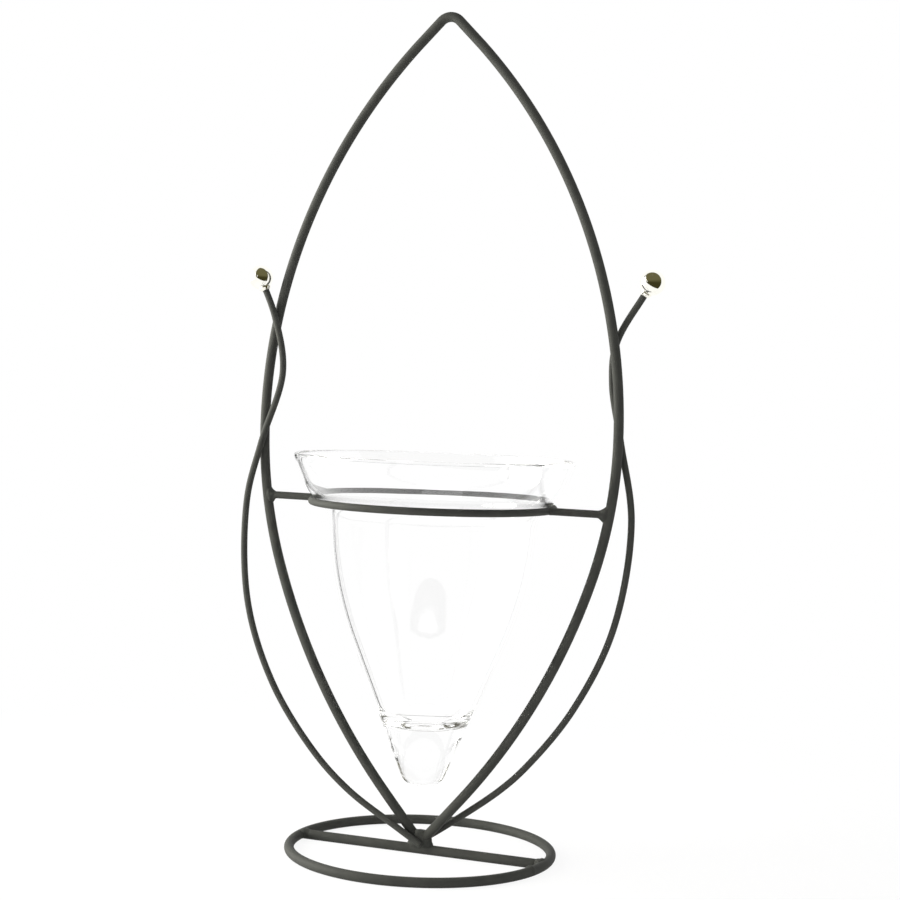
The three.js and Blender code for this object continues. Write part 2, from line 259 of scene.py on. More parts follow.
class PolishMarks(SharedGroup):
    """Group for polished surfaces: faint haze where they were handled, and slow waves."""

    NAME = "polish_marks"
    INPUTS = {"Clean": "Float", "Hazy": "Float", "Haze Scale": "Float", "Wave Scale": "Float"}
    OUTPUTS = {"Haze": "Float", "Roughness": "Float", "Height": "Float"}

    @classmethod
    def results(cls, tree: NodeTree, given: NodeOutputs) -> Inputs:
        """Adds the haze and the waves.

        Args:
            tree: The group's tree.
            given: The group's inputs.

        Returns:
            Haze, Roughness and Height.
        """
        smudge = object_noise(tree, given["Haze Scale"], detail=5.0, distortion=0.6)
        span = (0.5, 0.8)
        return {
            "Haze": mapped(tree, smudge, span),
            "Roughness": mapped(tree, smudge, span, (given["Clean"], given["Hazy"])),
            "Height": object_noise(tree, given["Wave Scale"], detail=1.0),
        }


# Finishes


@dataclass(frozen=True)
class Finish(ABC):
    """A material that a piece can be dressed in, with its bump's depth and its word in the pieces' names."""

    SLOT: ClassVar[Slot]
    WORD: ClassVar[str]
    GROUP: ClassVar[type[SharedGroup]]
    name: str
    depth: float

    @cache
    def material(self) -> Material:
        """Builds the material, once.

        Returns:
            The material.
        """
        material, tree = new_material(self.name)
        marks = add_node(tree, "Group", self.values(), node_tree=self.GROUP.group())
        inputs = {
            "Roughness": marks["Roughness"],
            "Normal": bumped(tree, marks["Height"], self.depth),
            **self.stuff(tree, marks),
        }
        fill_inputs(tree, tree.nodes["Principled BSDF"], inputs)
        return material

    @abstractmethod
    def values(self) -> Inputs:
        """Values of the group's inputs, by name."""

    @abstractmethod
    def stuff(self, tree: NodeTree, marks: NodeOutputs) -> Inputs:
        """The shader's other inputs, by name, from the group's outputs."""


@dataclass(frozen=True)
class SatinCoat(Finish):
    """Charcoal powder coat on wire."""

    SLOT = Slot.WIRE
    WORD = "coated"
    GROUP = CoatGrain
    deep: Rgb
    rough: float
    patch: float
    peel: float
    worn: Rgb = (0.0545, 0.0553, 0.0503)
    smooth: float = 0.58
    gloss: float = 0.1
    ior: float = 1.5

    def values(self) -> Inputs:
        """Values of the coat's grain."""
        grain = {"Rough": self.rough, "Patch Scale": 1 / self.patch, "Peel Scale": 1 / self.peel}
        return {"Deep": opaque(self.deep), "Worn": opaque(self.worn), "Smooth": self.smooth, **grain}

    def stuff(self, tree: NodeTree, marks: NodeOutputs) -> Inputs:
        """Paint with little gloss."""
        return {"Base Color": marks["Colour"], "IOR": self.ior, "Specular IOR Level": self.gloss}


@dataclass(frozen=True)
class Polish(Finish):
    """A polished surface with faint smudges and slow waves."""

    GROUP = PolishMarks
    clean: float
    hazy: float
    haze: float
    wave: float

    def values(self) -> Inputs:
        """Values of the surface's marks."""
        scales = {"Haze Scale": 1 / self.haze, "Wave Scale": 1 / self.wave}
        return {"Clean": self.clean, "Hazy": self.hazy, **scales}


@dataclass(frozen=True)
class PolishedMetal(Polish):
    """Mirror polished metal with a faint warm cast."""

    SLOT = Slot.BALL
    WORD = "polished"
    bright: Rgb
    dulled: Rgb

    def stuff(self, tree: NodeTree, marks: NodeOutputs) -> Inputs:
        """Metal that is duller where it is hazy."""
        tint = mixed(tree, marks["Haze"], opaque(self.bright), opaque(self.dulled))
        return {"Base Color": tint, "Metallic": 1.0}


@dataclass(frozen=True)
class ClearGlass(Polish):
    """Clear blown glass."""

    SLOT = Slot.GLASS
    WORD = "clear"
    colour: Rgb
    ior: float = 1.5

    def stuff(self, tree: NodeTree, marks: NodeOutputs) -> Inputs:
        """Glass of one colour."""
        return {"Base Color": opaque(self.colour), "Transmission Weight": 1.0, "IOR": self.ior}


WIRE_COAT = SatinCoat(
    name="satin_charcoal_coat", depth=0.04 * MM, deep=(0.0442, 0.0453, 0.0412), rough=0.7,
    patch=14 * MM, peel=1.1 * MM,
)
WELD_COAT = SatinCoat(
    name="satin_coat_on_welds", depth=0.1 * MM, deep=(0.0404, 0.0418, 0.0378), rough=0.74,
    patch=5 * MM, peel=1.6 * MM,
)
BALL_POLISH = PolishedMetal(
    name="mirror_polish", depth=0.02 * MM, bright=(1.0, 0.99, 0.93), dulled=(0.96, 0.94, 0.85),
    clean=0.03, hazy=0.09, haze=5 * MM, wave=9 * MM,
)
COLLAR_POLISH = PolishedMetal(
    name="turned_polish", depth=0.03 * MM, bright=(0.98, 0.96, 0.88), dulled=(0.82, 0.79, 0.68),
    clean=0.08, hazy=0.22, haze=2 * MM, wave=4 * MM,
)
VASE_GLASS = ClearGlass(
    name="clear_blown_glass", depth=0.1 * MM, colour=(1, 1, 1),
    clean=0.0, hazy=0.02, haze=40 * MM, wave=45 * MM,
)


# Mesh making


def place_object(name: str, mesh: BMesh, material: Material) -> Object:
    """Puts a finished bmesh in the scene.

    Args:
        name: Name of the object.
        mesh: Its shape. It is freed.
        material: Its material.

    Returns:
        The object, at the origin.
    """
    data = bpy.data.meshes.new(name)
    mesh.to_mesh(data)
    mesh.free()
    data.materials.append(material)
    placed = bpy.data.objects.new(name, data)
    bpy.context.scene.collection.objects.link(placed)
    return placed


def make_piece(node: str, mesh: BMesh, finish: Finish, body: Body = Body.STAND) -> None:
    """Turns a finished bmesh into a piece that rides on the frame.

    Args:
        node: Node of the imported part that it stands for.
        mesh: Its shape, in the frame's own place. It is freed.
        finish: Finish that it is dressed in.
        body: Body that it moves with.
    """
    bmesh.ops.remove_doubles(mesh, verts=mesh.verts, dist=MERGE_DISTANCE)
    bmesh.ops.recalc_face_normals(mesh, faces=mesh.faces)
    for face in mesh.faces:
        face.smooth = True
    piece = place_object(f"{node}_{finish.WORD}", mesh, finish.material())
    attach(piece, body.value)
    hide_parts(node)
    LOG.info("%s: %d faces, for %s", piece.name, len(piece.data.polygons), node)


def loop_edges(verts: Sequence[BMVert]) -> list[BMEdge]:
    """The edges that lie between the given vertices."""
    chosen = set(verts)
    return list({edge for vert in verts for edge in vert.link_edges if set(edge.verts) <= chosen})


def skin(sections: Sequence[Matrix], sides: int) -> BMesh:
    """Draws a closed skin through round sections, by extruding a circle from each to the next.

    Args:
        sections: Place, turn and size of each section, as what a unit circle is moved by.
        sides: Corners of a section.

    Returns:
        The skin.
    """
    mesh = bmesh.new()
    circle = bmesh.ops.create_circle(mesh, segments=sides, radius=1, matrix=sections[0])
    edges = loop_edges(circle["verts"])
    bmesh.ops.contextual_create(mesh, geom=edges)
    for before, after in pairwise(sections):
        grown = bmesh.ops.extrude_edge_only(mesh, edges=edges)["geom"]
        verts = [part for part in grown if isinstance(part, BMVert)]
        bmesh.ops.transform(mesh, matrix=after @ before.inverted(), verts=verts)
        edges = loop_edges(verts)
    bmesh.ops.contextual_create(mesh, geom=edges)
    return mesh


def rod_sections(path: Sequence[Vector], radius: float, end_round: float) -> list[Matrix]:
    """Sections of a rod along a path, each turned from the one before as little as can be.

    Args:
        path: Points of the centreline.
        radius: Radius of the rod.
        end_round: Radius of the rounding that closes both ends, or 0 for flat ends.

    Returns:
        The sections.
    """
    turn = (path[1] - path[0]).to_track_quat("Z", "Y")
    ahead = (path[1] - path[0]).normalized()
    placed = []
    for i, point in enumerate(path):
        along = (path[min(i + 1, len(path) - 1)] - path[max(i - 1, 0)]).normalized()
        turn = ahead.rotation_difference(along) @ turn
        ahead = along
        placed.append(Matrix.Translation(point) @ turn.to_matrix().to_4x4())
    steps = 6 if end_round else 0
    least = 0.05 * radius
    ends = []
    for i in range(1, steps + 1):
        angle = math.pi / 2 * i / steps
        ends.append((end_round * math.sin(angle), max(radius - end_round * (1 - math.cos(angle)), least)))
    sections = [(placed[0], -out, width) for out, width in reversed(ends)]
    sections += [(place, 0.0, radius) for place in placed]
    sections += [(placed[-1], out, width) for out, width in ends]
    return [place @ Matrix.Translation(UP * out) @ Matrix.Scale(width, 4) for place, out, width in sections]


def make_rod(
    node: str, path: Sequence[Vector], radius: float, sides: int = ROD_SIDES, end_round: float = 0.0,
) -> None:
    """Makes a rod of the stand along a path."""
    make_piece(node, skin(rod_sections(path, radius, end_round), sides), WIRE_COAT)


def spin_round(mesh: BMesh, geometry: Sequence[BMVert | BMEdge], steps: int) -> None:
    """Turns a profile's vertices and edges once round the Z axis."""
    bmesh.ops.spin(mesh, geom=geometry, axis=UP, angle=FULL_TURN, steps=steps, use_merge=True)


def make_ring(node: str, ring_r: float, rod_r: float, z: float) -> None:
    """Makes a ring of round rod about the Z axis.

    Args:
        node: Node that it stands for.
        ring_r: Radius of its centreline.
        rod_r: Radius of the rod.
        z: Height of its centreline.
    """
    mesh = bmesh.new()
    upright = Matrix.Translation((ring_r, 0, z)) @ Matrix.Rotation(math.pi / 2, 4, "X")
    circle = bmesh.ops.create_circle(mesh, segments=ROD_SIDES, radius=rod_r, matrix=upright)
    spin_round(mesh, circle["verts"] + loop_edges(circle["verts"]), RING_STEPS)
    make_piece(node, mesh, WIRE_COAT)


def turned_shape(profile: Sequence[Vector], steps: int, edge_round: float = 0.0) -> BMesh:
    """Turns a profile in the XZ plane round the Z axis.

    Args:
        profile: Its points, in order.
        steps: Steps of the turn.
        edge_round: How far from its corners their roundings start. With one, its ends are joined too.

    Returns:
        The turned shape.
    """
    mesh = bmesh.new()
    verts = [mesh.verts.new(point) for point in profile]
    for pair in pairwise(verts):
        mesh.edges.new(pair)
    if edge_round:
        bmesh.ops.bevel(
            mesh, geom=verts[1:-1], offset=edge_round, offset_type="OFFSET", affect="VERTICES",
            segments=4, profile=0.5, material=-1,
        )
        mesh.edges.new([vert for vert in mesh.verts if len(vert.link_edges) == 1])
    spin_round(mesh, [*mesh.verts, *mesh.edges], steps)
    return mesh


def ripple(mesh: BMesh, depth: float, pitch: float) -> None:
    """Ripples a surface as a hand-run weld bead is rippled.

    Args:
        mesh: Mesh to ripple.
        depth: Greatest depth of a ripple.
        pitch: Rough distance from ripple to ripple.
    """
    mesh.normal_update()
    for vert in mesh.verts:
        vert.co += vert.normal * depth * noise.noise(vert.co / pitch)


# Curves


def at(x: float, z: float) -> Vector:
    """A point in the frame's plane."""
    return Vector((x, 0, z))


@dataclass(frozen=True)
class ArcIntoStraight:
    """An arc that runs on into a straight."""

    angle: float
    radius: float

    @classmethod
    def fitted(
        cls, across: float, along: Callable[[float], float], straight: float, start: float = 0.0,
    ) -> "ArcIntoStraight":
        """Finds the arc whose run, with its straight, goes a set way.

        Args:
            across: How far the two go sideways.
            along: How far the two go vertically, for an angle of the straight.
            straight: Length of the straight.
            start: How far off the vertical the arc starts.

        Returns:
            The arc.
        """
        low, high = start, math.pi / 2
        for _ in range(HALVINGS):
            angle = (low + high) / 2
            rise = along(angle) - straight * math.cos(angle)
            if rise * math.tan((start + angle) / 2) + straight * math.sin(angle) < across:
                low = angle
            else:
                high = angle
        return cls(low, (along(low) - straight * math.cos(low)) / (math.sin(low) - math.sin(start)))


@dataclass(frozen=True)
class FrameArc:
    """An arc in the frame's plane, with its turns off the vertical where it starts and ends."""

    centre_x: float
    centre_z: float
    radius: float
    start: float
    end: float

    def point(self, turn: float) -> Vector:
        """The arc's point at a turn."""
        out, down = self.radius * math.cos(turn), self.radius * math.sin(turn)
        return at(self.centre_x + out, self.centre_z - down)

    def points(self) -> list[Vector]:
        """Points from the arc's start until just before its end."""
        steps = math.ceil((self.start - self.end) / math.radians(1))
        return [self.point(self.start + (self.end - self.start) * i / steps) for i in range(steps)]


def even_steps(start: Vector, end: Vector, steps: int) -> list[Vector]:
    """Points in even steps from a start, left out, to an end."""
    return [start.lerp(end, i / steps) for i in range(1, steps + 1)]


def straight_path(start_x: float, end_x: float, z: float, steps: int) -> list[Vector]:
    """Points in even steps along a straight that runs along X."""
    start = at(start_x, z)
    return [start, *even_steps(start, at(end_x, z), steps)]


def smooth_curve(points: Sequence[Vector], steps: int) -> list[Vector]:
    """Draws a centripetal curve through points, as a bent wire runs.

    Args:
        points: Points on the curve.
        steps: Steps from each point to the next.

    Returns:
        Points along the curve.
    """
    before = points[0] * 2 - points[1]
    after = points[-1] * 2 - points[-2]
    chain = [before, *points, after]
    drawn = [points[0].copy()]
    for p0, p1, p2, p3 in zip(chain, chain[1:], chain[2:], chain[3:]):
        d0, d1, d2 = (math.sqrt((b - a).length) for a, b in ((p0, p1), (p1, p2), (p2, p3)))
        leave = ((p1 - p0) / d0 - (p2 - p0) / (d0 + d1) + (p2 - p1) / d1) * d1
        reach = ((p2 - p1) / d1 - (p3 - p1) / (d1 + d2) + (p3 - p2) / d2) * d1
        for i in range(1, steps + 1):
            t = i / steps
            start = p1 * (2 * t**3 - 3 * t**2 + 1) + leave * (t**3 - 2 * t**2 + t)
            drawn.append(start + p2 * (3 * t**2 - 2 * t**3) + reach * (t**3 - t**2))
    return drawn


def corner_curve(start: Vector, corner: Vector, end: Vector, steps: int) -> list[Vector]:
    """Points that round a corner from a start to an end, both left in."""
    shares = [i / steps for i in range(steps + 1)]
    return [start * (1 - t) ** 2 + corner * 2 * t * (1 - t) + end * t**2 for t in shares]


# Stand


@dataclass
class FrameLine:
    """Centreline of the pointed frame's rod, which the arms and tendrils follow too."""

    rod_r: float = THICK_ROD_R
    half_width: float = 122.4 * MM
    widest_z: float = 274.3 * MM
    apex_z: float = 540.6 * MM
    apex_bend: float = 9 * MM
    shoulder_straight: float = 25.2 * MM
    belly_bend: float = 295.8 * MM
    belly_turn: float = math.radians(17.9)
    leg_straight: float = 40 * MM
    meet_z: float = 7.075 * MM
    leg: ArcIntoStraight = field(init=False)
    shoulder: ArcIntoStraight = field(init=False)
    arcs: tuple[FrameArc, ...] = field(init=False)

    def __post_init__(self) -> None:
        """Finds the arcs of a side, from the foot up."""
        belly_x = self.half_width - self.belly_bend
        belly = FrameArc(belly_x, self.widest_z, self.belly_bend, self.belly_turn, 0)
        low = belly.point(self.belly_turn)
        fall = low.z - self.meet_z
        self.leg = ArcIntoStraight.fitted(low.x, lambda _: fall, self.leg_straight, self.belly_turn)
        leg_x = low.x - self.leg.radius * math.cos(self.belly_turn)
        leg_z = low.z + self.leg.radius * math.sin(self.belly_turn)
        leg = FrameArc(leg_x, leg_z, self.leg.radius, self.leg.angle, self.belly_turn)
        self.shoulder = ArcIntoStraight.fitted(
            self.half_width, lambda angle: self.peak(angle) - self.widest_z, self.shoulder_straight,
        )
        top = -self.shoulder.angle
        shoulder_x = self.half_width - self.shoulder.radius
        shoulder = FrameArc(shoulder_x, self.widest_z, self.shoulder.radius, 0, top)
        apex = FrameArc(0, self.apex_z - self.apex_bend, self.apex_bend, top, -math.pi / 2)
        self.arcs = (leg, belly, shoulder, apex)

    def peak(self, angle: float) -> float:
        """Height that the shoulders aim at, above the apex bend."""
        return self.apex_z + self.apex_bend * (1 / math.sin(angle) - 1)

    def reach(self, z: float) -> float:
        """Distance of the centreline from the vase's axis.

        Args:
            z: Height.

        Returns:
            The distance.
        """
        for arc in self.arcs:
            fall = (arc.centre_z - z) / arc.radius
            if math.sin(arc.end) <= fall <= math.sin(arc.start):
                return arc.centre_x + arc.radius * math.sqrt(1 - fall**2)
        if z < self.widest_z:
            return (z - self.meet_z) * math.tan(self.leg.angle)
        return (self.peak(self.shoulder.angle) - z) * math.tan(self.shoulder.angle)

    def half(self, foot_x: float) -> list[Vector]:
        """Points of the right half, from the foot, at a distance from the axis, to the apex."""
        foot = at(foot_x, self.meet_z + foot_x / math.tan(self.leg.angle))
        return [foot, *(point for arc in self.arcs for point in arc.points()), at(0, self.apex_z)]


@dataclass(frozen=True)
class Bead:
    """A weld bead round a rod along X, which falls in a soft hollow from the joint to the rod.

    It starts some way inside the joint, and its end sinks under the rod's skin.
    """

    run: float
    half: Pair
    inside: float
    ripple_depth: float = 0.22 * MM
    ripple_pitch: float = 1.7 * MM
    sink: float = 0.12 * MM
    sides: int = 32

    def ovals(self, rod_r: float) -> list[Triple]:
        """Sections of the bead.

        Args:
            rod_r: Radius of the rod.

        Returns:
            Distance from the joint, half width and half height of each.
        """
        half_y, half_z = self.half
        ovals = [
            (-self.inside, half_y * 0.6, half_z * 0.6),
            (-self.inside * 0.5, half_y * 0.93, half_z * 0.95),
        ]
        steps = 12
        end = rod_r - self.sink
        for i in range(steps + 1):
            t = i / steps
            fall = (1 - t) ** 1.5
            ovals.append((self.run * t, end + (half_y - end) * fall, end + (half_z - end) * fall))
        return ovals

    def build(self, node: str, joint: Vector, sense: int, rod_r: float, lean: float = 0.0) -> None:
        """Builds the bead at a joint.

        Args:
            node: Node that it stands for.
            joint: Where it starts.
            sense: Sign of X that it runs to.
            rod_r: Radius of the rod.
            lean: How far it leans along X for its height.
        """
        along = Matrix.Rotation(math.pi / 2, 4, "Y")
        places = []
        for out, half_y, half_z in self.ovals(rod_r):
            offset = Matrix.Translation(joint + at(sense * out, 0))
            places.append(offset @ Matrix.Diagonal((1, half_y, half_z, 1)) @ along)
        mesh = skin(places, self.sides)
        shear = Matrix.Identity(4)
        shear[0][2] = lean
        bmesh.ops.transform(mesh, matrix=shear, space=Matrix.Translation(-joint), verts=mesh.verts)
        ripple(mesh, self.ripple_depth, self.ripple_pitch)
        make_piece(node, mesh, WELD_COAT)


@dataclass
class Base:
    """The ring on the table, the bar across it and their welds.

    Where the bar and the welds start inside the ring's centreline, and the seam's height, are in radii of
    the rod.
    """

    ring_r: float = 85 * MM
    rod_r: float = THICK_ROD_R
    bar_end: float = 0.5
    weld: Bead = Bead(run=4.6 * MM, half=(6.6 * MM, 3.42 * MM), inside=2.6 * MM)
    weld_start: float = 0.75
    weld_lift: float = 0.45 * MM
    seam_angle: float = math.radians(-14)
    seam_height: float = 1.2
    seam_half: Triple = (3.92 * MM, 3.2 * MM, 3.2 * MM)
    seam_ripple: Pair = (0.2 * MM, 1.5 * MM)

    def build(self) -> None:
        """Builds the base's pieces."""
        make_ring("base_ring", self.ring_r, self.rod_r, self.rod_r)
        reach = self.ring_r - self.rod_r * self.bar_end
        make_rod("base_crossbar", straight_path(-reach, reach, self.rod_r, steps=24), self.rod_r)
        out = self.ring_r - self.rod_r * self.weld_start
        for side in Side:
            joint = at(side.value * out, self.rod_r + self.weld_lift)
            self.weld.build(f"weld_base_{side.word}", joint, -side.value, self.rod_r - self.weld_lift)
        self.build_seam()

    def build_seam(self) -> None:
        """Builds the lump over the ring's closing seam."""
        mesh = bmesh.new()
        on_ring = Matrix.Translation((self.ring_r, 0, self.rod_r * self.seam_height))
        place = Matrix.Rotation(self.seam_angle, 4, "Z") @ on_ring @ Matrix.Diagonal((*self.seam_half, 1))
        bmesh.ops.create_icosphere(mesh, subdivisions=4, radius=1, matrix=place)
        ripple(mesh, *self.seam_ripple)
        make_piece("weld_base_seam", mesh, WELD_COAT)


@dataclass
class PointedFrame:
    """The rod bent to a pointed oval, and the weld between its legs.

    The weld is drawn through ovals, each with its height, half width and half depth in millimetres.
    """

    line: FrameLine
    foot_x: float = 1.8 * MM
    weld: Sequence[Triple] = (
        (3.8, 9.4, 2.7), (5.6, 9.2, 3.2), (6.8, 8.9, 3.33), (8.6, 8.2, 3.43), (10.4, 7.7, 3.48),
        (11.4, 7.1, 3.48), (12.6, 5.8, 3.38), (14, 5.1, 3.18), (15, 4.6, 2.88), (15.6, 3.8, 2.35),
        (15.8, 2.6, 1.5),
    )
    weld_sides: int = 48
    weld_ripple: Pair = (0.3 * MM, 2.4 * MM)

    def build(self) -> None:
        """Builds the rod, from one foot over the apex to the other, and the weld."""
        right = self.line.half(self.foot_x)
        left = [at(-point.x, point.z) for point in right[:-1]]
        make_rod("frame_rod", left + right[::-1], self.line.rod_r)
        places = []
        for z, half_x, half_y in self.weld:
            oval = Matrix.Diagonal((half_x * MM, half_y * MM, MM, 1))
            places.append(Matrix.Translation((0, 0, z * MM)) @ oval)
        mesh = skin(places, self.weld_sides)
        ripple(mesh, *self.weld_ripple)
        make_piece("weld_foot", mesh, WELD_COAT)


@dataclass
class VaseHolder:
    """The ring that holds the vase, its arms and their welds.

    Where the arms and welds start off the centrelines of the ring and the frame is in radii of their rods.
    """

    line: FrameLine
    ring_r: float = 78.1 * MM
    ring_z: float = 227.6 * MM
    rod_r: float = 2.38 * MM
    arm_end: float = 0.3
    arm_welds: tuple[Bead, ...] = (
        Bead(run=4 * MM, half=(3.68 * MM, 5.85 * MM), inside=3.2 * MM),
        Bead(run=5.4 * MM, half=(3.68 * MM, 5.85 * MM), inside=3.2 * MM),
    )
    arm_weld_start: float = 0.8
    ring_weld: Bead = Bead(4 * MM, (2.85 * MM, 2.43 * MM), inside=2.2 * MM, ripple_depth=0.12 * MM)
    ring_weld_start: float = 0.75

    def build(self) -> None:
        """Builds the holder's pieces."""
        make_ring("vase_ring", self.ring_r, self.rod_r, self.ring_z)
        start = self.ring_r + self.rod_r * self.arm_end
        end = self.line.reach(self.ring_z) - self.line.rod_r * self.arm_end
        for side, arm_weld in zip(Side, self.arm_welds):
            path = straight_path(side.value * start, side.value * end, self.ring_z, steps=10)
            make_rod(f"ring_arm_{side.word}", path, self.rod_r)
            self.build_welds(side, arm_weld)

    def build_welds(self, side: Side, arm_weld: Bead) -> None:
        """Builds one arm's welds: to the frame, leaning as the frame does, and to the ring.

        Args:
            side: Side of the arm.
            arm_weld: The weld to the frame.
        """
        slope = (self.line.reach(self.ring_z + MM) - self.line.reach(self.ring_z - MM)) / (2 * MM)
        out = self.line.reach(self.ring_z) - self.line.rod_r * self.arm_weld_start
        joint = at(side.value * out, self.ring_z)
        arm_weld.build(f"weld_arm_{side.word}", joint, -side.value, self.rod_r, side.value * slope)
        joint = at(side.value * (self.ring_r + self.rod_r * self.ring_weld_start), self.ring_z)
        self.ring_weld.build(f"weld_ring_{side.word}", joint, side.value, self.rod_r)


@dataclass
class Tendril:
    """A thin wire that winds up round one leg of the frame, with a polished ball and a collar at its tip.

    The foot is a distance from the axis and a height. The bends are heights above the ground and outsets
    from the frame's centreline, and the last one is the ball's centre. The collar's outside has radii and
    heights from the ball's centre. All of these are in millimetres.
    """

    line: FrameLine
    side: Side
    bends: Sequence[Pair]
    foot: Pair = (-2.0, 7.3)
    rod_r: float = 2.15 * MM
    sides: int = 24
    bend_steps: int = 24
    end_round: float = 0.8 * MM
    frame_gap: float = 0.2 * MM
    ball_r: float = 7.99 * MM
    tip_insert: float = 5 * MM
    hole_play: float = 0.05 * MM
    hole_depth_play: float = 0.2 * MM
    collar_length: float = 2.5 * MM
    collar_outside: Sequence[Pair] = ((2.85, -9.5), (3.15, -8.9), (3.95, -7.75), (3.95, -7.2), (3.3, -7))
    collar_edge: float = 0.16 * MM

    @property
    def hole_r(self) -> float:
        """Radius of the holes in the ball and the collar."""
        return self.rod_r + self.hole_play

    def point(self, x: float, z: float) -> Vector:
        """A point of the wire, beside the frame."""
        beside = self.line.rod_r + self.rod_r + self.frame_gap
        return Vector((self.side.value * x, self.side.value * beside, z))

    def centreline(self) -> tuple[list[Vector], Vector, Vector]:
        """Draws the wire's centreline.

        Returns:
            Its points, the ball's centre and the direction of the tip.
        """
        foot_x, foot_z = self.foot
        points = [self.point(foot_x * MM, foot_z * MM)]
        points += [self.point(self.line.reach(z * MM) + outset * MM, z * MM) for z, outset in self.bends]
        centre = points[-1]
        drawn = smooth_curve(points, self.bend_steps)
        tip = self.ball_r + self.collar_length + 2 * self.rod_r
        left_over = 0.0
        while left_over < tip:
            left_over += (drawn[-1] - drawn[-2]).length
            drawn.pop()
        aim = (centre - drawn[-1]).normalized()
        end = centre + aim * (self.tip_insert - self.ball_r)
        return drawn + even_steps(drawn[-1], end, steps=4), centre, aim

    def build(self) -> None:
        """Builds the tendril's pieces."""
        path, centre, aim = self.centreline()
        word = self.side.word
        make_rod(f"tendril_{word}", path, self.rod_r, self.sides, self.end_round)
        on_tip = Matrix.Translation(centre) @ UP.rotation_difference(aim).to_matrix().to_4x4()
        fittings = (("ball", self.ball(), BALL_POLISH), ("collar", self.collar(), COLLAR_POLISH))
        for part, mesh, finish in fittings:
            bmesh.ops.transform(mesh, matrix=on_tip, verts=mesh.verts)
            make_piece(f"finial_{part}_{word}", mesh, finish)

    def ball(self) -> BMesh:
        """Turns the ball, with a blind hole for the wire.

        Returns:
            Its shape, centred, with the hole downwards.
        """
        floor = self.tip_insert - self.ball_r + self.hole_depth_play
        mouth = math.asin(-math.sqrt(1 - (self.hole_r / self.ball_r) ** 2))
        profile = [at(0, floor), at(self.hole_r, floor)]
        steps = 40
        for i in range(steps + 1):
            angle = mouth + (math.pi / 2 - mouth) * i / steps
            profile.append(at(self.ball_r * math.cos(angle), self.ball_r * math.sin(angle)))
        return turned_shape(profile, steps=72)

    def collar(self) -> BMesh:
        """Turns the flared collar under the ball, with rounded edges outside.

        Returns:
            Its shape, placed under a centred ball.
        """
        outside = [at(r * MM, z * MM) for r, z in self.collar_outside]
        below, above = (at(self.hole_r, corner.z) for corner in (outside[0], outside[-1]))
        return turned_shape([below, *outside, above], steps=64, edge_round=self.collar_edge)


LEFT_BENDS: tuple[Pair, ...] = (
    (17, 6.7), (36.8, 23.6), (60, 31.5), (103, 35.3), (156, 30), (223, 13.4), (262, 0), (310, -12.7),
    (346, 0), (371.7, 17.6),
)
RIGHT_BENDS: tuple[Pair, ...] = (
    (18.6, 4.8), (46, 17.9), (64, 22.2), (102, 26), (155, 24.5), (223, 13.5), (273, 0), (310, -5.2),
    (335, 0), (373, 30.3),
)


# Vase


